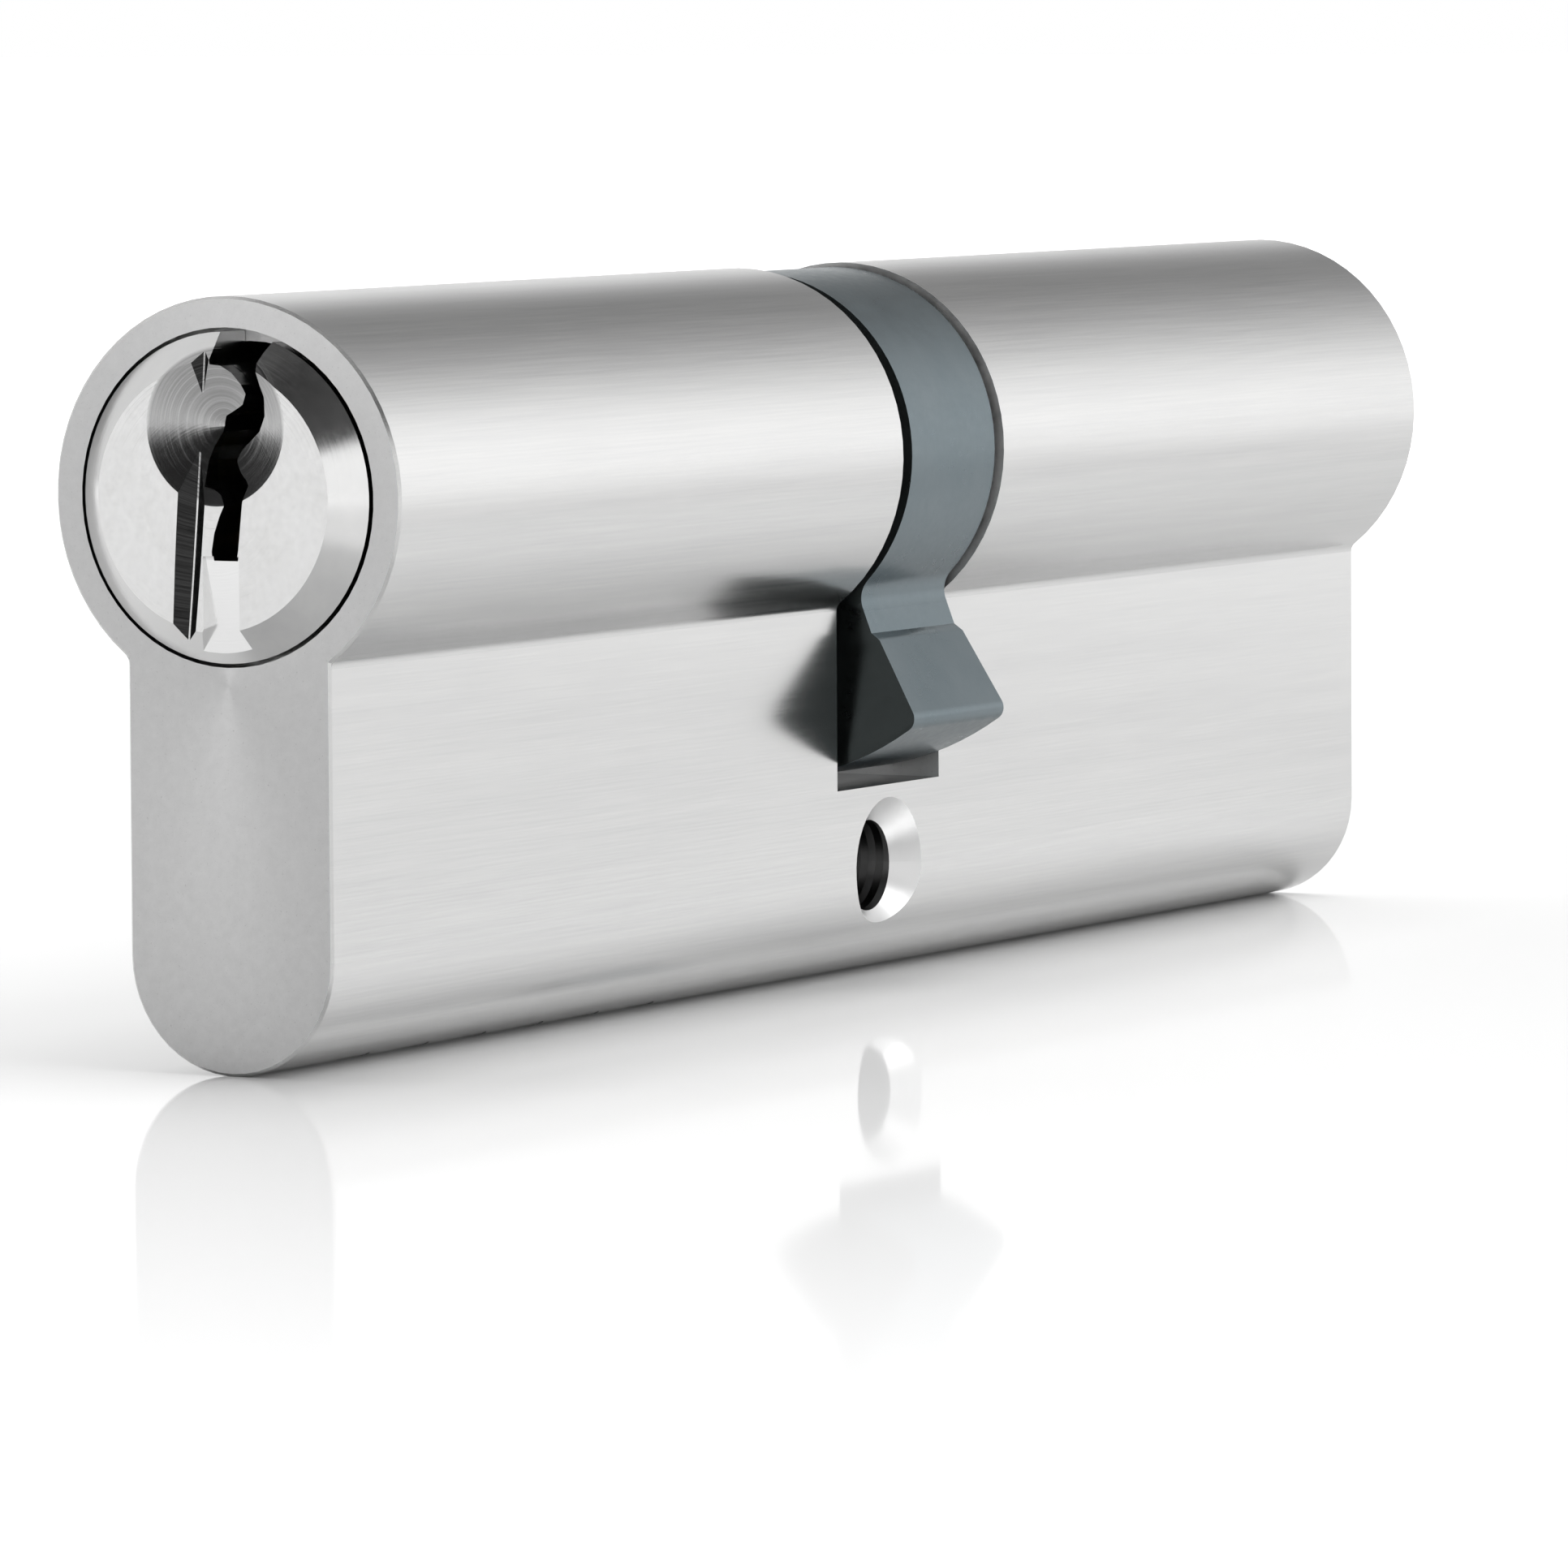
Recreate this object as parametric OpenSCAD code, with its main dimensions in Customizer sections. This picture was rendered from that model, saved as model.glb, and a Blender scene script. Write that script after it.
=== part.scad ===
// Euro profile double cylinder for a mortice door lock: a pear-shaped housing
// with a keyed core in each half and one cam between them.
// Origin: centre of the fixing-screw hole. X runs along the barrel, the front
// half is at -X. Z is up. The cores and the cam turn about the barrel axis.

/* [Housing] */
// Length of the housing, front face to rear face
body_len = 100; // [90:1:120]
// Radius of the round barrel
barrel_r = 8.5; // [8.45:0.05:8.6]
// Width of the flat web under the barrel
web_w = 10; // [9.8:0.1:10.2]
// Height of the barrel axis above the fixing-screw axis
axis_z = 19.2; // [19:0.1:19.4]
// Height of the web's bottom rounding centre below the fixing-screw axis
foot_drop = 0.3; // [0.2:0.1:0.5]
// Chamfer round both end faces
end_chamfer = 0.12; // [0.08:0.01:0.2]
// Radius of the small fillet between barrel and web
neck_r = 0.5; // [0.3:0.1:0.8]

/* [Fixing screw hole] */
// Radius of the hole at the thread crests (M5)
screw_r = 2.1; // [2.05:0.05:2.2]
// Radius of the countersink on each side
screw_csk_r = 3.2; // [2.8:0.05:3.4]

/* [Cam slot and cam] */
// Width of the slot across the housing
slot_w = 10; // [9.8:0.1:10.4]
// Depth of the slot floor below the barrel axis
slot_floor = 15.4; // [15.3:0.1:15.8]
// Width of the cam
cam_w = 8.9; // [8.6:0.1:9.2]
// Outer radius of the cam's ring
cam_ring_r = 8.3; // [8.2:0.05:8.35]
// Radius of the cam's nose
cam_tip_r = 15.1; // [14.8:0.1:15.2]
// Angle of the nose from straight down, towards -Y
cam_angle = 21; // [18:1:30]
// Half width of the nose where its sides would meet the axis height
cam_nose_w0 = 1.04; // [0.9:0.02:1.2]
// How much each side of the nose spreads per millimetre outwards
cam_nose_spread = 0.2; // [0.18:0.005:0.22]
// Half width of the waist that joins the nose to the ring
cam_waist = 2.8; // [2.6:0.05:2.9]
// Radius at which the waist ends and steps out to the nose's sides
cam_waist_end = 9.85; // [9.6:0.05:10.2]
// How far the ring's front face lies ahead of mid-length, less than the nose's half width
cam_ring_front = 3.75; // [3.6:0.05:4.2]

/* [Cores] */
// Radius of a core's body
core_r = 6.5; // [6.45:0.05:6.5]
// Running clearance between turning parts, on the radius
run_gap = 0.05; // [0.03:0.01:0.08]
// Radius of a core's head
head_r = 7; // [6.9:0.05:7.05]
// Radius of the flat face on the head
face_r = 5.65; // [5.5:0.05:5.8]
// How far the head stands out of the housing
face_proud = 1.15; // [1:0.05:1.3]
// Radius of the core's inner journal
journal_r = 4.9; // [4.85:0.05:4.95]
// Length of the keyway from the housing's face
key_depth = 36; // [36:0.5:37]

/* [Pin stacks] */
// Number of pin stacks in each half
pin_count = 6; // [6:1:6]
// Distance from the housing's face to the first pin
pin_first = 7.5; // [7:0.1:7.5]
// Distance between pins
pin_pitch = 5; // [4.8:0.1:5]
// Radius of a pin
pin_r = 1.42; // [1.38:0.01:1.44]
// Radius of a pin hole
chamber_r = 1.5; // [1.48:0.01:1.55]
// Sideways offset of the pin row from the middle plane
pin_offset = 0.55; // [0.4:0.05:0.6]
// Length of a driver pin
driver_len = 5; // [4.5:0.1:5.5]

/* [Springs] */
// Mean radius of a spring
spring_r = 1.08; // [1.05:0.01:1.12]
// Radius of the spring wire
wire_r = 0.17; // [0.15:0.01:0.18]
// Turns of a spring
spring_turns = 7; // [6:1:8]

/* [Hidden] */
$fn = 96;
hl = body_len / 2;
foot_r = web_w / 2;
foot_z = -foot_drop;
slot_h = slot_w / 2;
cam_h = cam_w / 2;
bore_r = core_r + run_gap;
journal_bore_r = journal_r + run_gap;
head_bore_r = head_r + 0.18;
head_bore_depth = 2;
step_x = slot_h + 3;
web_half = 1.5;
shear_z = axis_z - core_r;
cap_top = axis_z - 22;
pin_top = axis_z + 1.6;
// cut depths of the key, from the face inwards
cuts = [1.8, 0.9, 2.4, 1.2, 2.1, 0.6];
key_floor = axis_z - 2.6;
coupler_t = 1.4;
coupler_wing = 6.1;
coupler_travel = 1.55;
tail_end = hl - key_depth - 0.2;

nickel = [0.74, 0.74, 0.74];
bright = [0.83, 0.83, 0.84];
steel = [0.52, 0.57, 0.6];
brass = [0.8, 0.66, 0.36];

// x of pin n in the front half, n counted from 0
function pin_x(n) = -hl + pin_first + n * pin_pitch;
// height of the tip of key pin n while the right key holds it
function tip_z(n) = key_floor + cuts[n];

// positive root of a*u*u + b*u + c
function root(a, b, c) = (-b + sqrt(b * b - 4 * a * c)) / (2 * a);
// distance out along the nose at which a line off the nose's side by d lies at radius r
function side_u(r, d) =
    let (s = cam_nose_spread, k = cam_nose_w0 + d * sqrt(1 + s * s))
    root(1 + s * s, 2 * k * s, k * k - r * r);
function side_w(u, d) = cam_nose_w0 + d * sqrt(1 + cam_nose_spread * cam_nose_spread) + cam_nose_spread * u;

// the rear half is the front half turned half a turn about Z
module rear() rotate([0, 0, 180]) children();

// solid of revolution about the barrel axis, points are [radius, x]
module lathe(pts) translate([0, 0, axis_z]) rotate([0, 90, 0]) rotate_extrude() polygon(pts);

// cylinder along the barrel axis from x0 to x1
module barrel_cyl(x0, x1, r) translate([x0, 0, axis_z]) rotate([0, 90, 0]) cylinder(h = x1 - x0, r = r);

// outline in the Y-Z plane pulled along X from x0 to x1
module pull(x0, x1) translate([x0, 0, 0]) rotate([90, 0, 90]) linear_extrude(x1 - x0) children();

module neck_fillet() {
    cy = foot_r + neck_r;
    cz = sqrt(pow(barrel_r + neck_r, 2) - cy * cy);
    k = barrel_r / (barrel_r + neck_r);
    pull(-hl + end_chamfer, hl - end_chamfer)
        translate([0, axis_z])
            difference() {
                polygon([[foot_r - 0.6, -cz], [cy, -cz], [cy * k, -cz * k], [foot_r - 0.6, -cz * k]]);
                translate([cy, -cz]) circle(r = neck_r);
            }
}

module housing_blank() {
    c = end_chamfer;
    lathe([[0, -hl], [barrel_r - c, -hl], [barrel_r, -hl + c], [barrel_r, hl - c], [barrel_r - c, hl], [0, hl]]);
    translate([0, 0, foot_z]) linear_extrude(axis_z - foot_z)
        polygon([[-hl, -foot_r + c], [-hl + c, -foot_r], [hl - c, -foot_r], [hl, -foot_r + c],
            [hl, foot_r - c], [hl - c, foot_r], [-hl + c, foot_r], [-hl, foot_r - c]]);
    translate([0, 0, foot_z]) rotate([0, 90, 0]) rotate_extrude()
        polygon([[0, -hl], [foot_r - c, -hl], [foot_r, -hl + c], [foot_r, hl - c], [foot_r - c, hl], [0, hl]]);
    neck_fillet();
    mirror([0, 1, 0]) neck_fillet();
}

module housing_half_bores() {
    barrel_cyl(-hl - 2, -hl + head_bore_depth, head_bore_r);
    barrel_cyl(-hl + 1, -step_x, bore_r);
    barrel_cyl(-step_x - 1, 0, journal_bore_r);
    for (n = [0 : pin_count - 1])
        translate([pin_x(n), -pin_offset, foot_z - foot_r - 1])
            cylinder(h = shear_z - foot_z + foot_r + 2.5, r = chamber_r);
}

module housing() {
    color(nickel) difference() {
        housing_blank();
        housing_half_bores();
        rear() housing_half_bores();
        translate([-slot_h, -10, axis_z - slot_floor]) cube([slot_w, 20, slot_floor + 12]);
        translate([0, 6, 0]) rotate([90, 0, 0]) cylinder(h = 12, r = screw_r);
        for (s = [0, 180]) rotate([0, 0, s])
            translate([0, -foot_r - 0.5, 0]) rotate([-90, 0, 0])
                cylinder(h = screw_csk_r - screw_r + 0.5, r1 = screw_csk_r + 0.5, r2 = screw_r);
    }
}

// the warded keyway, open at the top of the core
module keyway_outline() {
    translate([0, axis_z]) polygon([
        [0.2, 9], [0.2, 5.65], [-0.32, 5.6], [-0.82, 5.3], [-1.23, 4.8], [-1.42, 4.42], [-1.18, 3.96], [-0.8, 3.76],
        [-0.22, 3.48], [-0.1, 3.2], [-0.03, 2.8], [0.28, 2.2], [0.46, 1.6], [0.5, 0.5], [0, 0.38], [-0.34, 0.18],
        [-0.57, -0.26], [-0.33, -0.75], [-0.08, -1.43], [0.06, -2.2], [0.02, -2.6], [-1.15, -2.6], [-1.24, -2.2],
        [-1.33, -1.34], [-1.46, -0.14], [-1.58, 0.28], [-1.7, 0.58], [-1.54, 0.82], [-1.22, 1.1], [-0.98, 1.5],
        [-0.95, 1.68], [-1.16, 2.08], [-1.55, 2.4], [-2.1, 2.85], [-2.42, 3.5], [-2.45, 4.3], [-2.26, 4.8],
        [-2.03, 5.72], [-2.16, 6.16], [-2.4, 6.67], [-2.5, 9]]);
}

// key-entry details on the head: cone, long V groove and flat lead-in
module face_cuts() {
    fx = -hl - face_proud;
    translate([fx, -0.16, axis_z + 3.05]) rotate([0, 90, 0]) {
        cylinder(h = 0.96, r1 = 3.36, r2 = 0.01);
        translate([0, 0, -1]) cylinder(h = 1.001, r = 3.36);
    }
    translate([fx - 200 + 0.55, 1.0, axis_z + 0.5]) rotate([4.2, 0, 0]) rotate([90, 0, 0])
        rotate_extrude($fn = 720) polygon([[197, -3.59], [199.98, -0.04], [199.98, 0.04], [197, 3.59]]);
    translate([fx + 0.1, 0, axis_z - 2.4]) rotate([0, -8.5, 0])
        pull(-3, 0) polygon([[0.5, 0], [-1.28, 0], [-1.28, -3.05], [-1.62, -4.6], [1.15, -4.6], [0.5, -3.05]]);
}

module core() {
    j = step_x + run_gap;
    color(bright) difference() {
        lathe([[0, -hl - face_proud], [face_r, -hl - face_proud], [head_r, -hl - 0.05], [head_r, -hl + head_bore_depth - 0.05],
            [core_r, -hl + head_bore_depth - 0.05], [core_r, -j], [journal_r, -j], [journal_r, -slot_h + 0.03],
            [4.2, -slot_h + 0.03], [4.2, -slot_h + 0.85], [journal_r, -slot_h + 0.85], [journal_r, -0.1], [0, -0.1]]);
        pull(-hl - 3, -hl + key_depth) keyway_outline();
        face_cuts();
        for (n = [0 : pin_count - 1])
            translate([pin_x(n), -pin_offset, shear_z - 1.5]) cylinder(h = pin_top - shear_z + 1.5, r = chamber_r);
        barrel_cyl(-hl + key_depth - 1.8, 1, 1.6);
        translate([-3.1, -8, axis_z - 1.25]) cube([4, 16, 2.5]);
    }
}

module core_front() core();
module core_rear() rear() core();

// fillets where the waist leaves the ring: the corner is filled, then a circle that
// touches the ring and the waist's side is taken away
fillet_r = 1.2;
fillet_w = cam_waist + fillet_r;
fillet_u = sqrt(pow(cam_ring_r + fillet_r, 2) - fillet_w * fillet_w);

module nose_gusset() {
    k = (cam_ring_r - 0.6) / (cam_ring_r + fillet_r);
    polygon([[-fillet_w * k, -fillet_u * k], [-fillet_w, -fillet_u], [-cam_waist + 0.5, -fillet_u - 0.2],
        [cam_waist - 0.5, -fillet_u - 0.2], [fillet_w, -fillet_u], [fillet_w * k, -fillet_u * k]]);
}

shoulder_u = cam_waist_end + 0.45;

module nose_outline() {
    rc = 0.6;
    uc = side_u(cam_tip_r - rc, -rc);
    intersection() {
        circle(r = cam_tip_r - rc);
        polygon([[-cam_waist, -4], [cam_waist, -4], [cam_waist, -cam_waist_end], [side_w(shoulder_u, 0), -shoulder_u],
            [side_w(17, 0), -17], [-side_w(17, 0), -17], [-side_w(shoulder_u, 0), -shoulder_u], [-cam_waist, -cam_waist_end]]);
    }
    intersection() {
        circle(r = cam_tip_r);
        polygon([[0, -shoulder_u], [side_w(uc, -rc), -uc], [side_w(uc, -rc) * 20 / uc, -20], [-side_w(uc, -rc) * 20 / uc, -20], [-side_w(uc, -rc), -uc]]);
    }
    for (s = [-1, 1]) translate([s * side_w(uc, -rc), -uc]) circle(r = rc);
}

// the cam seen from its side: the front face runs straight down the ring and the waist, then
// leans forward to the nose's full width
module cam_side() {
    translate([0, 0, axis_z]) rotate([-cam_angle, 0, 0]) rotate([90, 0, 0]) linear_extrude(height = 60, center = true)
        polygon([[cam_h + 1, 20], [-cam_ring_front, 20], [-cam_ring_front, -shoulder_u + 0.2],
            [-cam_h, -cam_tip_r + 0.8], [-cam_h, -20], [cam_h + 1, -20]]);
}

module cam() {
    color(steel) difference() {
        intersection() {
            pull(-cam_h, cam_h) translate([0, axis_z]) rotate(-cam_angle) difference() {
                union() {
                    circle(r = cam_ring_r);
                    nose_outline();
                    nose_gusset();
                }
                for (s = [-1, 1]) translate([s * fillet_w, -fillet_u]) circle(r = fillet_r);
            }
            cam_side();
        }
        barrel_cyl(-cam_h - 1, cam_h + 1, journal_bore_r + 0.02);
        barrel_cyl(-cam_h - 1, -web_half, 6.95);
        barrel_cyl(web_half, cam_h + 1, 6.95);
        translate([-web_half - 0.5, -6.35, axis_z - 1.3]) cube([2 * web_half + 1, 12.7, 2.6]);
    }
}

module coupler() {
    color(steel) {
        intersection() {
            translate([-0.05 - coupler_t, -8, axis_z - 1.2]) cube([coupler_t, 16, 2.4]);
            barrel_cyl(-0.05 - coupler_t, -0.05, coupler_wing);
        }
        barrel_cyl(-0.1, 0.77, 1.15);
        barrel_cyl(-tail_end, -coupler_t, 1.5);
    }
}

module coupler_front() coupler();
module coupler_rear() translate([coupler_travel, 0, 0]) rear() coupler();

module circlip() {
    color(steel) difference() {
        barrel_cyl(-slot_h + 0.05, -slot_h + 0.8, 6.5);
        barrel_cyl(-slot_h - 1, -slot_h + 2, 4.25);
        translate([-slot_h - 1, -1.9, axis_z]) cube([3, 3.8, 9]);
    }
}

module circlip_front() circlip();
module circlip_rear() rear() circlip();

// a key pin: rounded foot on the driver, cone tip in the key's cut
module key_pin(n) {
    z0 = shear_z + 0.2;
    z1 = tip_z(n) - 0.05;
    color(brass) translate([pin_x(n), -pin_offset, 0]) rotate_extrude($fn = 48)
        polygon([[0, z0], [0.9, z0], [pin_r, z0 + 0.32], [pin_r, z1 - 1.2], [0.45, z1], [0, z1]]);
}

module driver_pin(n) {
    z1 = shear_z - 0.08;
    z0 = z1 - driver_len;
    color(steel) translate([pin_x(n), -pin_offset, 0]) rotate_extrude($fn = 48)
        polygon([[0, z0], [0.8, z0], [0.8, z0 + 0.6], [pin_r, z0 + 0.6], [pin_r, z1 - 0.25], [pin_r - 0.25, z1], [0, z1]]);
}

// a coil spring as a four-sided wire swept along its helix
module spring(n) {
    z0 = cap_top + wire_r * 1.2 + 0.03;
    z1 = shear_z - 0.08 - driver_len + 0.6 - wire_r * 1.2 - 0.03;
    per = 9;
    rings = spring_turns * per;
    rw = wire_r * 1.2;
    pts = [for (k = [0 : rings]) for (q = [0 : 3])
        let (a = k * 360 / per, r = spring_r + rw * cos(q * 90), z = z0 + (z1 - z0) * k / rings + rw * sin(q * 90))
        [r * cos(a), r * sin(a), z]];
    faces = concat(
        [for (k = [0 : rings - 1]) for (q = [0 : 3]) [k * 4 + q, (k + 1) * 4 + (q + 1) % 4, k * 4 + (q + 1) % 4]],
        [for (k = [0 : rings - 1]) for (q = [0 : 3]) [k * 4 + q, (k + 1) * 4 + q, (k + 1) * 4 + (q + 1) % 4]],
        [[0, 1, 2], [0, 2, 3]],
        [[rings * 4, rings * 4 + 2, rings * 4 + 1], [rings * 4, rings * 4 + 3, rings * 4 + 2]]);
    color(steel) translate([pin_x(n), -pin_offset, 0]) polyhedron(points = pts, faces = faces);
}

// the press-in plugs that close the pin holes, ground flush with the foot
module chamber_plugs() {
    color(nickel) for (n = [0 : pin_count - 1]) intersection() {
        translate([pin_x(n), -pin_offset, foot_z - foot_r - 1]) cylinder(h = cap_top - foot_z + foot_r + 1, r = chamber_r - 0.01);
        translate([-hl, 0, foot_z]) rotate([0, 90, 0]) cylinder(h = hl, r = foot_r - 0.03);
    }
}

module chamber_plugs_front() chamber_plugs();
module chamber_plugs_rear() rear() chamber_plugs();

housing();
core_front();
core_rear();
cam();
coupler_front();
coupler_rear();
circlip_front();
circlip_rear();
key_pin(0);  // key_pin_f1
key_pin(1);  // key_pin_f2
key_pin(2);  // key_pin_f3
key_pin(3);  // key_pin_f4
key_pin(4);  // key_pin_f5
key_pin(5);  // key_pin_f6
rear() key_pin(0);  // key_pin_r1
rear() key_pin(1);  // key_pin_r2
rear() key_pin(2);  // key_pin_r3
rear() key_pin(3);  // key_pin_r4
rear() key_pin(4);  // key_pin_r5
rear() key_pin(5);  // key_pin_r6
driver_pin(0);  // driver_pin_f1
driver_pin(1);  // driver_pin_f2
driver_pin(2);  // driver_pin_f3
driver_pin(3);  // driver_pin_f4
driver_pin(4);  // driver_pin_f5
driver_pin(5);  // driver_pin_f6
rear() driver_pin(0);  // driver_pin_r1
rear() driver_pin(1);  // driver_pin_r2
rear() driver_pin(2);  // driver_pin_r3
rear() driver_pin(3);  // driver_pin_r4
rear() driver_pin(4);  // driver_pin_r5
rear() driver_pin(5);  // driver_pin_r6
spring(0);  // spring_f1
spring(1);  // spring_f2
spring(2);  // spring_f3
spring(3);  // spring_f4
spring(4);  // spring_f5
spring(5);  // spring_f6
rear() spring(0);  // spring_r1
rear() spring(1);  // spring_r2
rear() spring(2);  // spring_r3
rear() spring(3);  // spring_r4
rear() spring(4);  // spring_r5
rear() spring(5);  // spring_r6
chamber_plugs_front();
chamber_plugs_rear();
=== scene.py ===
import math

import bpy
from mathutils import Matrix, Vector


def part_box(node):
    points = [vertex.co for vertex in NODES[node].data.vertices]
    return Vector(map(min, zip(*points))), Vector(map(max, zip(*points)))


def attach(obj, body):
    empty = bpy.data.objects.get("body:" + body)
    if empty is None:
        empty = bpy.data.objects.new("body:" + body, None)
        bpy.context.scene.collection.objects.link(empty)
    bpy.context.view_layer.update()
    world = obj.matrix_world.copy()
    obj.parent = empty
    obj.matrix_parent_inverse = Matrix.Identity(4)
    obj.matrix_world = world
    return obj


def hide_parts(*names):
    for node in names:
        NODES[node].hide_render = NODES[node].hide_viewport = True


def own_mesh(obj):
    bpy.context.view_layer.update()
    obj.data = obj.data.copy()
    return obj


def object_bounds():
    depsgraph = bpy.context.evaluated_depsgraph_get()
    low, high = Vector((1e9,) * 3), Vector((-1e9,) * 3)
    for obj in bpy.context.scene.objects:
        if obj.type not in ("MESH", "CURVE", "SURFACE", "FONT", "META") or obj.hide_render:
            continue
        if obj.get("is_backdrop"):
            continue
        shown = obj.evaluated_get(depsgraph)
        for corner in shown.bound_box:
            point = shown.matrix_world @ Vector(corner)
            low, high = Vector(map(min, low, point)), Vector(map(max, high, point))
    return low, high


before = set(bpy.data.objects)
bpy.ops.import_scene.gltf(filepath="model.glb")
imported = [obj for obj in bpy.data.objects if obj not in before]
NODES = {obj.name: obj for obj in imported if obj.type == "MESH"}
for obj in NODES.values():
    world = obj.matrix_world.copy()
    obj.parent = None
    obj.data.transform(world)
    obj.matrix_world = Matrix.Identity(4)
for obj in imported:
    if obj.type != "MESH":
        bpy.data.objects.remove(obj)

CAD_LO, CAD_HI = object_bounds()
MM = 0.001
AXIS_Z = 19.2 * MM
HALF = 50.0 * MM
SIDES = (("f", -1.0), ("r", 1.0))

# ---------------------------------------------------------------- camera
AZ, EL, ROLL = (math.radians(v) for v in (-61.541, 4.336, -0.342))
right0 = Vector((math.cos(AZ), math.sin(AZ), 0.0))
back = Vector((math.sin(AZ) * math.cos(EL), -math.cos(AZ) * math.cos(EL), math.sin(EL)))
up0 = back.cross(right0)
right = right0 * math.cos(ROLL) + up0 * math.sin(ROLL)
up = up0 * math.cos(ROLL) - right0 * math.sin(ROLL)
AIM = Vector((0.0, 0.0, 11.2)) * MM
cam_data = bpy.data.cameras.new("camera")
cam_data.sensor_width = 36.0
cam_data.lens = 12906.5 / 1932 * 36.0
cam_data.clip_start, cam_data.clip_end = 0.01, 50.0
cam_data.dof.use_dof = False
camera = bpy.data.objects.new("camera", cam_data)
bpy.context.scene.collection.objects.link(camera)
rot = Matrix((right, up, back)).transposed().to_4x4()
camera.matrix_world = Matrix.Translation(AIM + right * -0.386 * MM + up * -7.534 * MM + back * 485.49 * MM) @ rot
bpy.context.scene.camera = camera


# ---------------------------------------------------------------- shader helpers
class Tree:
    """A small wrapper that places and links nodes of one material or world."""

    def __init__(self, tree):
        self.t = tree
        tree.nodes.clear()

    def node(self, kind, **values):
        n = self.t.nodes.new(kind)
        for k, v in values.items():
            setattr(n, k, v)
        return n

    def link(self, a, b):
        self.t.links.new(a, b)

    def put(self, socket, value):
        if isinstance(value, bpy.types.NodeSocket):
            self.link(value, socket)
        else:
            socket.default_value = value

    def math(self, op, a, b=0.0, c=0.0, clamp=False):
        n = self.node("ShaderNodeMath", operation=op, use_clamp=clamp)
        for s, v in zip(n.inputs, (a, b, c)):
            self.put(s, v)
        return n.outputs[0]

    def vmath(self, op, a, b=(0, 0, 0), out=0):
        n = self.node("ShaderNodeVectorMath", operation=op)
        self.put(n.inputs[0], a)
        if op != "LENGTH":
            self.put(n.inputs[1], b)
        return n.outputs[out]

    def length(self, a):
        n = self.node("ShaderNodeVectorMath", operation="LENGTH")
        self.put(n.inputs[0], a)
        return n.outputs["Value"]

    def xyz(self, v):
        n = self.node("ShaderNodeSeparateXYZ")
        self.put(n.inputs[0], v)
        return n.outputs

    def vec(self, x, y, z):
        n = self.node("ShaderNodeCombineXYZ")
        for s, v in zip(n.inputs, (x, y, z)):
            self.put(s, v)
        return n.outputs[0]

    def noise(self, vector, scale, detail=2.0, rough=0.5):
        n = self.node("ShaderNodeTexNoise")
        self.put(n.inputs["Vector"], vector)
        n.inputs["Scale"].default_value = scale
        n.inputs["Detail"].default_value = detail
        n.inputs["Roughness"].default_value = rough
        return n.outputs["Fac"]

    def remap(self, v, a, b, c, d, smooth=False):
        n = self.node("ShaderNodeMapRange")
        n.interpolation_type = "SMOOTHSTEP" if smooth else "LINEAR"
        n.clamp = True
        for s, x in zip(n.inputs, (v, a, b, c, d)):
            self.put(s, x)
        return n.outputs[0]

    def mix(self, f, a, b):
        n = self.node("ShaderNodeMix", data_type="FLOAT")
        self.put(n.inputs[0], f)
        self.put(n.inputs[2], a)
        self.put(n.inputs[3], b)
        return n.outputs[0]

    def mixc(self, f, a, b, blend="MIX"):
        n = self.node("ShaderNodeMix", data_type="RGBA", blend_type=blend)
        self.put(n.inputs[0], f)
        self.put(n.inputs[6], a)
        self.put(n.inputs[7], b)
        return n.outputs[2]

    def bump(self, height, strength, distance, normal=None):
        n = self.node("ShaderNodeBump")
        n.inputs["Strength"].default_value = strength
        n.inputs["Distance"].default_value = distance
        self.put(n.inputs["Height"], height)
        if normal is not None:
            self.link(normal, n.inputs["Normal"])
        return n.outputs["Normal"]


def grey(v, tint=(1, 1, 1)):
    return (v * tint[0], v * tint[1], v * tint[2], 1.0)


def new_material(name):
    m = bpy.data.materials.new(name)
    m.use_nodes = True
    t = Tree(m.node_tree)
    out = t.node("ShaderNodeOutputMaterial")
    bsdf = t.node("ShaderNodeBsdfPrincipled")
    t.link(bsdf.outputs[0], out.inputs[0])
    bsdf.inputs["Metallic"].default_value = 1.0
    coord = t.node("ShaderNodeTexCoord")
    return m, t, bsdf, coord


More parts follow.
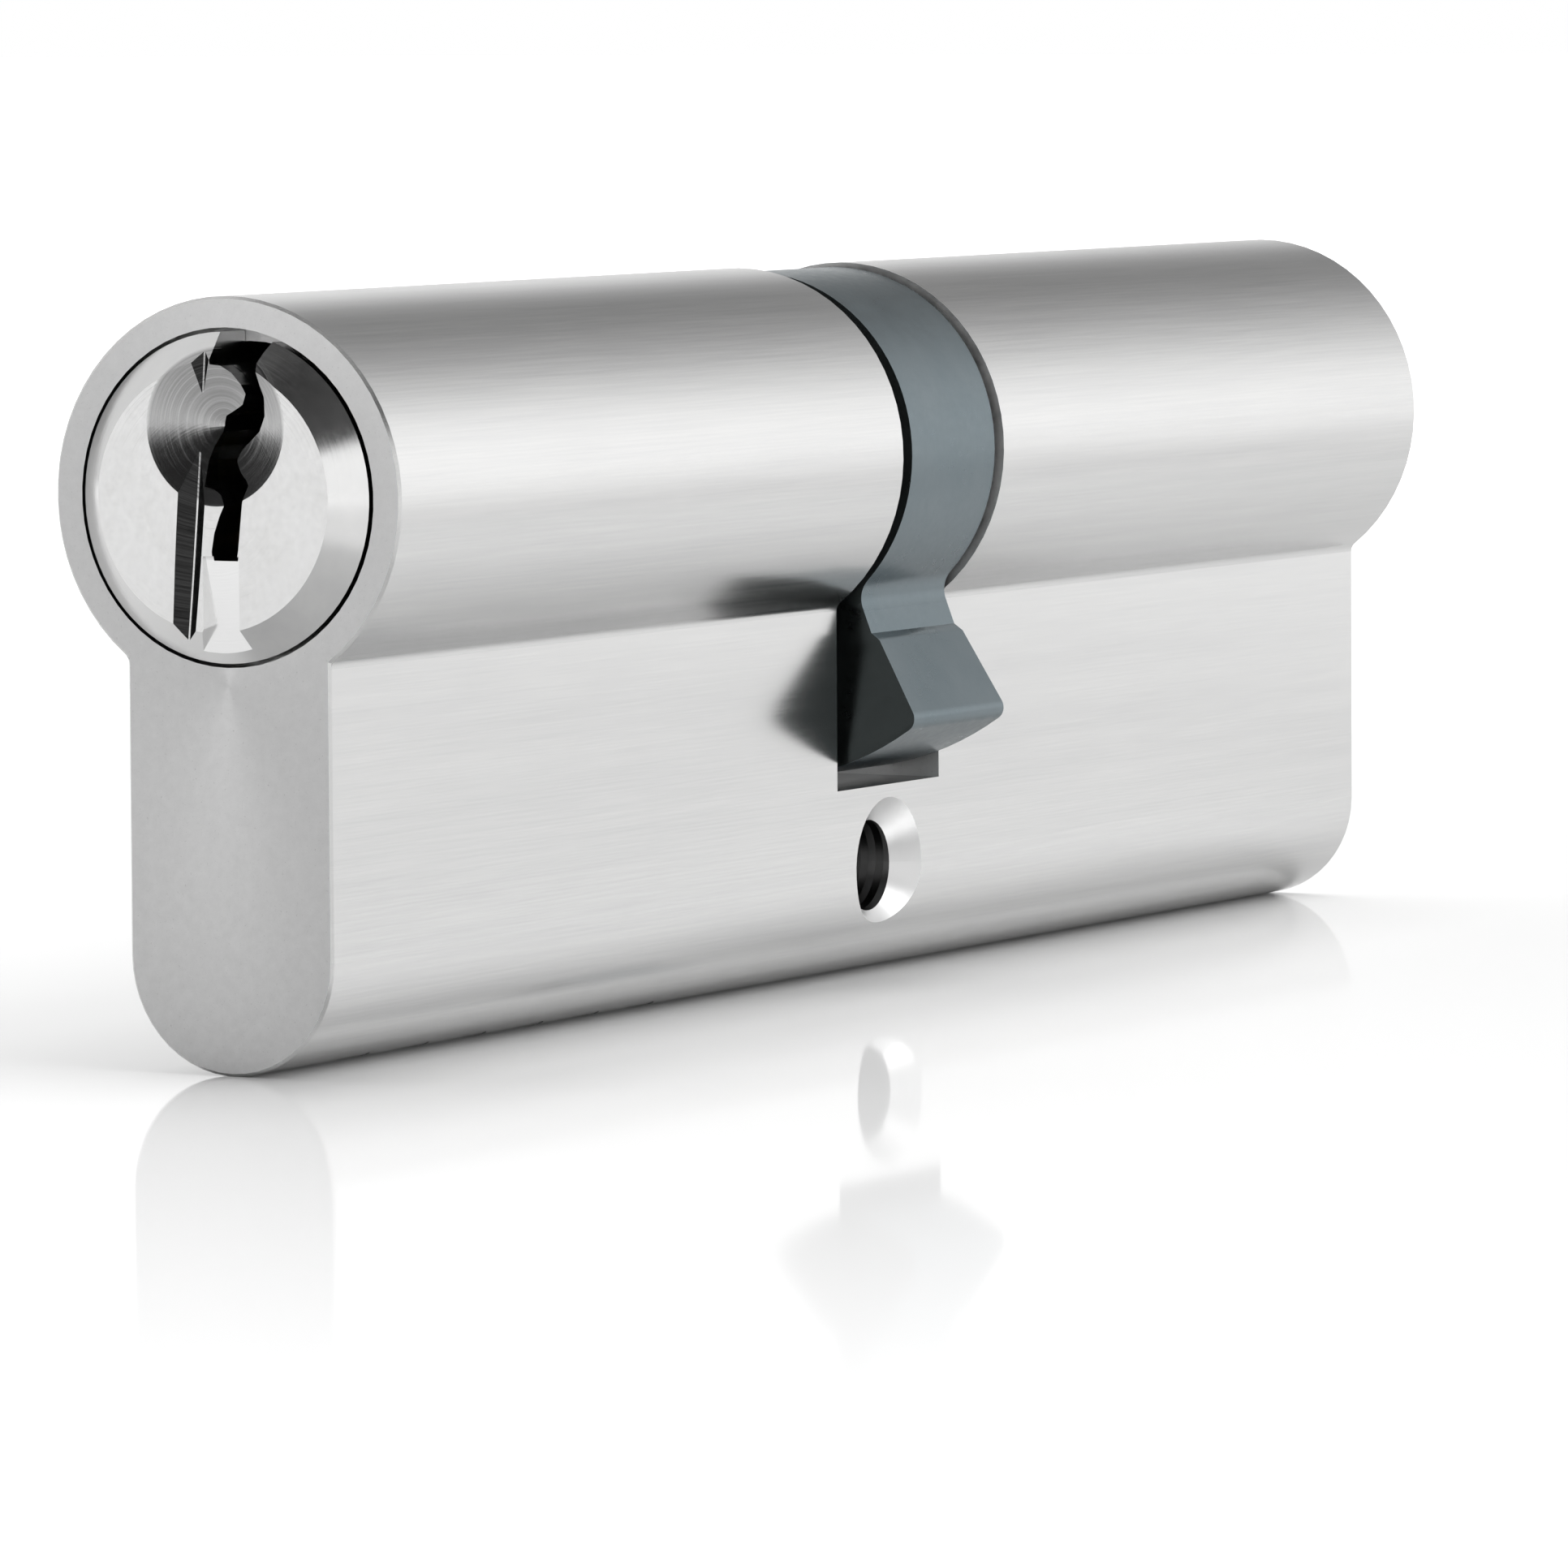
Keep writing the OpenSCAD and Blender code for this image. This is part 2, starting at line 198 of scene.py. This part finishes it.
# ---------------------------------------------------------------- materials
def nickel_satin():
    """Satin nickel plate: fine brushing along the barrel, sand-fine matt end faces, thread in the fixing hole."""
    m, t, b, c = new_material("nickel_satin")
    p = c.outputs["Object"]
    x, y, z = t.xyz(p)
    nx, ny, nz = t.xyz(c.outputs["Normal"])
    end = t.remap(t.math("ABSOLUTE", nx), 0.85, 0.97, 0.0, 1.0, True)
    # brushing: long streaks along X, two widths of grain
    fine = t.noise(t.vec(t.math("MULTIPLY", x, 140.0), t.math("MULTIPLY", y, 9000.0), t.math("MULTIPLY", z, 9000.0)), 1.0, 3.0, 0.6)
    wide = t.noise(t.vec(t.math("MULTIPLY", x, 35.0), t.math("MULTIPLY", y, 1500.0), t.math("MULTIPLY", z, 1500.0)), 1.0, 2.0, 0.5)
    cloud = t.noise(p, 130.0, 3.0, 0.55)
    speck = t.noise(p, 7500.0, 3.0, 0.75)
    grain = t.noise(p, 1700.0, 5.0, 0.7)
    hole_r = t.length(t.vec(x, 0.0, z))
    sink = t.math("MULTIPLY", t.remap(hole_r, 3.35 * MM, 3.28 * MM, 0.0, 1.0), t.math("MULTIPLY", t.remap(t.math("ABSOLUTE", ny), 0.5, 0.55, 0.0, 1.0), t.remap(t.math("ABSOLUTE", ny), 0.8, 0.76, 0.0, 1.0)))
    in_bore = t.math("MULTIPLY", t.remap(hole_r, 2.2 * MM, 2.14 * MM, 0.0, 1.0), t.remap(t.math("ABSOLUTE", ny), 0.3, 0.2, 0.0, 1.0))
    streak = t.math("ADD", t.math("MULTIPLY", fine, 0.6), t.math("MULTIPLY", wide, 0.4))
    rough_body = t.math("ADD", t.remap(streak, 0.3, 0.7, 0.19, 0.245), t.remap(cloud, 0.35, 0.65, -0.01, 0.01))
    rough_end = t.remap(grain, 0.3, 0.7, 0.46, 0.6)
    end = t.math("MULTIPLY", end, t.math("SUBTRACT", 1.0, in_bore))
    rough_body = t.mix(t.math("MAXIMUM", sink, in_bore), rough_body, 0.34)
    t.link(t.mix(end, rough_body, rough_end), b.inputs["Roughness"])
    body_col = t.mixc(t.remap(streak, 0.32, 0.68, 0.0, 1.0), grey(0.48, (1, 1, 1.0)), grey(0.535, (1, 0.998, 0.99)))
    pits = t.remap(speck, 0.62, 0.74, 0.0, 1.0, True)
    end_col = t.mixc(t.remap(grain, 0.3, 0.7, 0.0, 1.0), grey(0.76), grey(0.84))
    end_col = t.mixc(t.math("MULTIPLY", pits, 0.45), end_col, grey(0.33))
    body_col = t.mixc(sink, body_col, grey(0.58))
    # painted shade: the fixing hole's bore wall is painted near-black, as the hole lies in shade
    body_col = t.mixc(in_bore, body_col, grey(0.06))
    t.link(t.mixc(end, body_col, end_col), b.inputs["Base Color"])
    # M5 thread inside the fixing hole, as relief on the bore's wall
    turn = t.math("DIVIDE", t.math("ARCTAN2", z, x), 2 * math.pi)
    saw = t.math("PINGPONG", t.math("ADD", t.math("DIVIDE", y, 0.8 * MM), turn), 0.5)
    n1 = t.bump(t.math("MULTIPLY", saw, in_bore), 1.0, 0.35 * MM)
    h = t.math("ADD", t.math("MULTIPLY", t.math("SUBTRACT", 1.0, end), streak), t.math("MULTIPLY", end, t.math("ADD", grain, t.math("MULTIPLY", speck, 0.6))))
    n2 = t.bump(h, 0.12, 0.02 * MM, n1)
    t.link(n2, b.inputs["Normal"])
    b.inputs["Anisotropic"].default_value = 0.35
    tan = t.node("ShaderNodeTangent", direction_type="RADIAL", axis="X")
    t.link(tan.outputs[0], b.inputs["Tangent"])
    b.inputs["Anisotropic Rotation"].default_value = 0.0
    return m


def nickel_bright(side):
    """Polished nickel on a core: fine turning marks on the head, rings in the key-entry cone."""
    m, t, b, c = new_material("nickel_bright_" + ("front" if side < 0 else "rear"))
    p = c.outputs["Object"]
    x, y, z = t.xyz(p)
    ax = t.math("MULTIPLY", x, side)                       # distance out towards this core's face
    on_head = t.remap(ax, 49.9 * MM, 50.0 * MM, 0.0, 1.0)
    dy = t.math("SUBTRACT", y, side * 0.16 * MM)
    dz = t.math("SUBTRACT", z, AXIS_Z + 3.05 * MM)
    rd = t.length(t.vec(0.0, dy, dz))
    in_cone = t.math("MULTIPLY", on_head, t.remap(rd, 3.4 * MM, 3.25 * MM, 0.0, 1.0))
    nx, ny, nz = t.xyz(c.outputs["Normal"])
    gy = t.math("SUBTRACT", t.math("MULTIPLY", y, -side), t.math("ADD", 1.0 * MM, t.math("MULTIPLY", t.math("SUBTRACT", z, AXIS_Z + 0.5 * MM), -0.0734)))
    groove_painted_shade = t.math("MULTIPLY", on_head, t.remap(t.math("ABSOLUTE", gy), 0.80 * MM, 0.74 * MM, 0.0, 1.0))
    groove_painted_shade = t.math("MULTIPLY", groove_painted_shade, t.remap(t.math("ABSOLUTE", ny), 0.52, 0.56, 0.0, 1.0))
    groove_painted_shade = t.math("MULTIPLY", groove_painted_shade, t.remap(t.math("ABSOLUTE", ny), 0.76, 0.72, 0.0, 1.0))
    groove_painted_shade = t.math("MULTIPLY", groove_painted_shade, t.remap(t.math("ABSOLUTE", nz), 0.12, 0.10, 0.0, 1.0))
    jitter = t.noise(p, 900.0, 3.0, 0.6)
    rings = t.noise(t.vec(t.math("MULTIPLY", rd, 11000.0), 0.0, t.math("MULTIPLY", jitter, 0.7)), 1.0, 3.0, 0.65)
    wave = t.math("SINE", t.math("ADD", t.math("MULTIPLY", rd, 2 * math.pi / (0.17 * MM)), t.math("MULTIPLY", jitter, 2.4)))
    rf = t.length(t.vec(0.0, y, t.math("SUBTRACT", z, AXIS_Z)))
    turning = t.noise(t.vec(t.math("MULTIPLY", rf, 9000.0), 0.0, t.math("MULTIPLY", jitter, 0.6)), 1.0, 3.0, 0.6)
    cloud = t.noise(p, 420.0, 4.0, 0.6)
    fine = t.noise(p, 2600.0, 3.0, 0.6)
    rough = t.math("ADD", t.remap(cloud, 0.3, 0.7, 0.13, 0.19), t.remap(fine, 0.3, 0.7, -0.015, 0.02))
    rough = t.math("ADD", rough, t.math("MULTIPLY", in_cone, t.remap(rings, 0.3, 0.7, -0.03, 0.05)))
    t.link(rough, b.inputs["Roughness"])
    col = t.mixc(t.remap(cloud, 0.3, 0.7, 0.0, 1.0), grey(0.57, (1, 1, 1)), grey(0.62, (1, 0.998, 0.992)))
    # the key-entry cone: its ring pattern is the machining, its darker grey is painted shade in the recess
    col = t.mixc(t.math("MULTIPLY", in_cone, t.remap(rings, 0.35, 0.65, 0.75, 1.0)), col, t.mixc(t.remap(rings, 0.4, 0.65, 0.0, 1.0), grey(0.24), grey(0.42)))
    # painted shade: the V-groove on the head is painted near-white's opposite, near-black
    col = t.mixc(groove_painted_shade, col, t.mixc(t.remap(rings, 0.35, 0.7, 0.0, 1.0), grey(0.012), grey(0.045)))
    # painted highlight: the lead-in on the head below the axis is painted near-white
    lead_in_painted_highlight = t.math("MULTIPLY", on_head, t.remap(z, AXIS_Z - 2.4 * MM, AXIS_Z - 2.6 * MM, 0.0, 1.0))
    lead_in_painted_highlight = t.math("MULTIPLY", lead_in_painted_highlight, t.remap(t.math("ABSOLUTE", ny), 0.12, 0.08, 0.0, 1.0))
    lead_in_painted_highlight = t.math("MULTIPLY", lead_in_painted_highlight, t.remap(nz, -0.09, -0.12, 0.0, 1.0))
    lead_in_painted_highlight = t.math("MULTIPLY", lead_in_painted_highlight, t.remap(nz, -0.21, -0.18, 0.0, 1.0))
    col = t.mixc(lead_in_painted_highlight, col, grey(0.92))
    depth_painted_shade = t.remap(ax, 48.6 * MM, 50.2 * MM, 1.0, 0.0)      # painted shade: darker further in from the core's face, into the bores
    depth_painted_shade = t.math("MULTIPLY", depth_painted_shade, t.math("SUBTRACT", 1.0, groove_painted_shade))
    t.link(t.mixc(t.math("MULTIPLY", depth_painted_shade, 0.25), col, grey(0.42)), b.inputs["Base Color"])
    h = t.math("ADD", t.math("MULTIPLY", turning, 0.35), t.math("MULTIPLY", in_cone, t.math("ADD", t.math("MULTIPLY", wave, 0.12), rings)))
    t.link(t.bump(h, 0.3, 0.025 * MM), b.inputs["Normal"])
    return m


def cam_steel():
    """Blue-grey sintered steel: even fine grain with slightly lighter specks, a faint tumbled sheen."""
    m, t, b, c = new_material("cam_steel")
    p = c.outputs["Object"]
    x, y, z = t.xyz(p)
    nx, ny, nz = t.xyz(c.outputs["Normal"])
    side = t.remap(t.math("ABSOLUTE", nx), 0.85, 0.97, 0.0, 1.0, True)
    grain = t.noise(p, 2300.0, 4.0, 0.65)
    cloud = t.noise(p, 260.0, 3.0, 0.55)
    r = t.length(t.vec(0.0, y, t.math("SUBTRACT", z, AXIS_Z)))
    turn = t.noise(t.vec(t.math("MULTIPLY", x, 8000.0), t.math("MULTIPLY", r, 300.0), 0.0), 1.0, 3.0, 0.6)
    t.link(t.math("ADD", t.remap(grain, 0.3, 0.7, 0.27, 0.35), t.remap(cloud, 0.35, 0.65, -0.02, 0.03)), b.inputs["Roughness"])
    a = t.mixc(t.remap(cloud, 0.3, 0.7, 0.0, 1.0), (0.105, 0.135, 0.149, 1), (0.130, 0.158, 0.171, 1))
    a = t.mixc(t.math("MULTIPLY", t.remap(grain, 0.55, 0.75, 0.0, 1.0), 0.2), a, (0.12, 0.15, 0.165, 1))
    # painted shade: the cam's faces across its axis, on both sides, are painted near-black
    t.link(t.mixc(t.math("MULTIPLY", side, 0.85), a, (0.035, 0.038, 0.036, 1)), b.inputs["Base Color"])
    h = t.math("ADD", grain, t.math("MULTIPLY", turn, 0.5))
    t.link(t.bump(h, 0.12, 0.02 * MM), b.inputs["Normal"])
    return m


def turned(name, light, dark, rough, pitch=0.09):
    """A turned pin or plug: rings across its axis, small scratches, slightly darker in the grooves."""
    m, t, b, c = new_material(name)
    p = c.outputs["Object"]
    x, y, z = t.xyz(p)
    jitter = t.noise(p, 1500.0, 3.0, 0.6)
    rings = t.math("SINE", t.math("ADD", t.math("MULTIPLY", z, 2 * math.pi / (pitch * MM)), t.math("MULTIPLY", jitter, 3.0)))
    f = t.remap(t.math("ADD", t.math("MULTIPLY", rings, 0.18), jitter), 0.3, 0.75, 0.0, 1.0)
    t.link(t.mixc(f, dark, light), b.inputs["Base Color"])
    t.link(t.remap(f, 0.0, 1.0, rough + 0.08, rough - 0.04), b.inputs["Roughness"])
    t.link(t.bump(f, 0.3, 0.02 * MM), b.inputs["Normal"])
    return m


def wire_steel():
    """Drawn spring wire and clip steel: grey with a fine grain and an oily sheen."""
    m, t, b, c = new_material("spring_steel")
    p = c.outputs["Object"]
    cloud = t.noise(p, 700.0, 4.0, 0.6)
    fine = t.noise(p, 5000.0, 3.0, 0.6)
    t.link(t.mixc(t.remap(cloud, 0.3, 0.7, 0.0, 1.0), grey(0.40, (1, 1, 1.03)), grey(0.56, (1, 1, 1.02))), b.inputs["Base Color"])
    t.link(t.remap(fine, 0.3, 0.7, 0.22, 0.34), b.inputs["Roughness"])
    t.link(t.bump(fine, 0.25, 0.01 * MM), b.inputs["Normal"])
    return m


MAT = {
    "satin": nickel_satin(),
    "front": nickel_bright(-1.0),
    "rear": nickel_bright(1.0),
    "cam": cam_steel(),
    "brass": turned("pin_brass", (0.80, 0.60, 0.28, 1), (0.62, 0.43, 0.17, 1), 0.24),
    "steel": turned("pin_steel", (0.62, 0.62, 0.63, 1), (0.44, 0.44, 0.46, 1), 0.28),
    "wire": wire_steel(),
}


def material_of(name):
    if name.startswith("housing") or name.startswith("chamber_plugs"):
        return MAT["satin"]
    if name == "core_front":
        return MAT["front"]
    if name == "core_rear":
        return MAT["rear"]
    if name.startswith("key_pin"):
        return MAT["brass"]
    if name.startswith("driver_pin"):
        return MAT["steel"]
    if name.startswith("cam") or name.startswith("coupler"):
        return MAT["cam"]
    return MAT["wire"]


for name, obj in NODES.items():
    obj.data.materials.clear()
    obj.data.materials.append(material_of(name))


# ---------------------------------------------------------------- edges
def soften(obj, width, segments=2, angle=28.0):
    """Breaks a CAD node's sharp edges, as deburring does. Its mesh stays as imported: this is a modifier."""
    weld = obj.modifiers.new("weld", "WELD")
    weld.merge_threshold = 1e-6
    bevel = obj.modifiers.new("edge", "BEVEL")
    bevel.width = width
    bevel.segments = segments
    bevel.limit_method = "ANGLE"
    bevel.angle_limit = math.radians(angle)
    bevel.use_clamp_overlap = True
    bevel.miter_outer = "MITER_ARC"
    even = obj.modifiers.new("even", "WEIGHTED_NORMAL")
    even.mode = "FACE_AREA_WITH_ANGLE"
    even.weight = 60
    for poly in obj.data.polygons:
        poly.use_smooth = True


soften(NODES["cam"], 0.2 * MM, 3)


# ---------------------------------------------------------------- springs
def coil(name, cx, cy, z0, z1, mean_r, wire_r, turns, closed=1.25):
    """A compression spring with closed ends, swept as a round wire."""
    per, ring = 28, 10
    total = turns + 2 * closed
    steps = int(total * per)
    rise = (z1 - z0) - 2 * wire_r
    dead = closed * 2 * wire_r * 1.02
    verts, faces = [], []
    for k in range(steps + 1):
        t = k / steps * total
        if t < closed:
            z = t / closed * dead
        elif t > total - closed:
            z = rise - (total - t) / closed * dead
        else:
            z = dead + (t - closed) / turns * (rise - 2 * dead)
        a = 2 * math.pi * t
        taper = 1.0
        for q in range(ring):
            w = 2 * math.pi * q / ring
            rr = mean_r + wire_r * taper * math.cos(w)
            verts.append((cx + rr * math.cos(a), cy + rr * math.sin(a), z0 + wire_r + z + wire_r * taper * math.sin(w)))
    for k in range(steps):
        for q in range(ring):
            a, b = k * ring + q, k * ring + (q + 1) % ring
            faces.append((a, b, b + ring, a + ring))
    faces.append(tuple(reversed(range(ring))))
    faces.append(tuple(range(steps * ring, (steps + 1) * ring)))
    mesh = bpy.data.meshes.new(name)
    mesh.from_pydata(verts, [], faces)
    mesh.update()
    mesh.polygons.foreach_set("use_smooth", [True] * len(mesh.polygons))
    obj = bpy.data.objects.new(name, mesh)
    bpy.context.scene.collection.objects.link(obj)
    obj.data.materials.append(MAT["wire"])
    return obj


for letter, side in SIDES:
    for i in range(6):
        node = f"spring_{letter}{i + 1}"
        lo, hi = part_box(node)
        cx, cy = (lo.x + hi.x) / 2, (lo.y + hi.y) / 2
        piece = coil(f"coil_{letter}{i + 1}", cx, cy, lo.z, hi.z, 1.08 * MM, 0.18 * MM, 6.0)
        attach(piece, "housing")
        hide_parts(node)
        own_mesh(piece)


# ---------------------------------------------------------------- stage
floor_z = CAD_LO.z
size = 6.0
mesh = bpy.data.meshes.new("floor")
mesh.from_pydata([(-size, -size, floor_z), (size, -size, floor_z), (size, size, floor_z), (-size, size, floor_z)], [], [(0, 1, 2, 3)])
floor = bpy.data.objects.new("floor", mesh)
bpy.context.scene.collection.objects.link(floor)
m = bpy.data.materials.new("floor")
m.use_nodes = True
t = Tree(m.node_tree)
out = t.node("ShaderNodeOutputMaterial")
c = t.node("ShaderNodeTexCoord")
x, y, z = t.xyz(c.outputs["Object"])
dx = t.math("MAXIMUM", t.math("SUBTRACT", t.math("ABSOLUTE", x), 0.05), 0.0)
dy = t.math("MAXIMUM", t.math("SUBTRACT", t.math("ABSOLUTE", y), 0.004), 0.0)
dist = t.length(t.vec(dx, dy, 0.0))
gloss = t.node("ShaderNodeBsdfGlossy")
gloss.inputs["Color"].default_value = (1, 1, 1, 1)
gloss.inputs["Roughness"].default_value = 0.05
matt = t.node("ShaderNodeBsdfPrincipled")
matt.inputs["Base Color"].default_value = (0.93, 0.93, 0.93, 1)
matt.inputs["Roughness"].default_value = 0.6
matt.inputs["Specular IOR Level"].default_value = 0.0
matt.inputs["Emission Color"].default_value = (1, 1, 1, 1)
t.link(t.remap(dist, 0.10, 0.55, 0.03, 0.70), matt.inputs["Emission Strength"])
mixer = t.node("ShaderNodeMixShader")
t.link(t.remap(dist, 0.0, 0.12, 0.46, 0.0), mixer.inputs[0])
t.link(matt.outputs[0], mixer.inputs[1])
t.link(gloss.outputs[0], mixer.inputs[2])
t.link(mixer.outputs[0], out.inputs[0])
floor.data.materials.append(m)
floor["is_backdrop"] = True

# ---------------------------------------------------------------- light
world = bpy.data.worlds.new("studio")
bpy.context.scene.world = world
world.use_nodes = True
t = Tree(world.node_tree)
out = t.node("ShaderNodeOutputWorld")
bg = t.node("ShaderNodeBackground")
c = t.node("ShaderNodeTexCoord")
x, y, z = t.xyz(c.outputs["Generated"])
# two long soft lights lie along the barrel, one on each side, with a dark gap over it
ramp = t.node("ShaderNodeValToRGB")
ramp.color_ramp.interpolation = "B_SPLINE"
BRIGHTEST = 2.0
stops = [(-1.0, 1.0), (-0.65, 1.5), (-0.47, 1.95), (-0.38, 1.45), (-0.24, 0.85), (-0.10, 0.60), (0.06, 0.36), (0.26, 0.30), (0.36, 0.52), (0.46, 1.05), (0.65, 1.05), (1.0, 1.0)]
els = ramp.color_ramp.elements
while len(els) > 1:
    els.remove(els[-1])
els[0].position, els[0].color = 0.0, grey(stops[0][1] / BRIGHTEST)
for at, v in stops[1:]:
    e = els.new((at + 1) / 2)
    e.color = grey(v / BRIGHTEST)
t.link(t.remap(y, -1.0, 1.0, 0.0, 1.0), ramp.inputs[0])
light_path = t.node("ShaderNodeLightPath")
# the far side of the room is dark
toward = t.math("MULTIPLY", x, -1.0)
edge = t.remap(y, 0.0, -0.45, -0.02, 0.36)
high = t.math("MULTIPLY", t.math("SUBTRACT", z, edge), 12.0, 0.0, clamp=True)
room = t.math("MULTIPLY", t.remap(toward, 0.15, 0.5, 0.0, 1.0, True), high)
sky = t.mixc(t.math("MULTIPLY", room, 0.97), ramp.outputs[0], grey(0.03 / BRIGHTEST))
t.link(t.mixc(light_path.outputs["Is Camera Ray"], sky, grey(1.0 / BRIGHTEST)), bg.inputs["Color"])
bg.inputs["Strength"].default_value = BRIGHTEST
t.link(bg.outputs[0], out.inputs[0])


def area(name, where, aim, sx, sy, power):
    d = bpy.data.lights.new(name, "AREA")
    d.shape, d.size, d.size_y, d.energy = "RECTANGLE", sx, sy, power
    o = bpy.data.objects.new(name, d)
    bpy.context.scene.collection.objects.link(o)
    o.location = where
    o.rotation_mode = "QUATERNION"
    o.rotation_quaternion = (Vector(aim) - Vector(where)).to_track_quat("-Z", "Y")
    return o


area("top", (0.22, 0.0, 0.9), (0, 0, 0), 0.6, 0.7, 3.5)
area("front", (0.05, -0.56, 0.62), (0, 0, 0.01), 0.42, 0.42, 1.1)

view = bpy.context.scene.view_settings
view.view_transform = "Standard"
view.look = "None"
view.exposure = 0.0
view.gamma = 1.0

lo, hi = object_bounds()
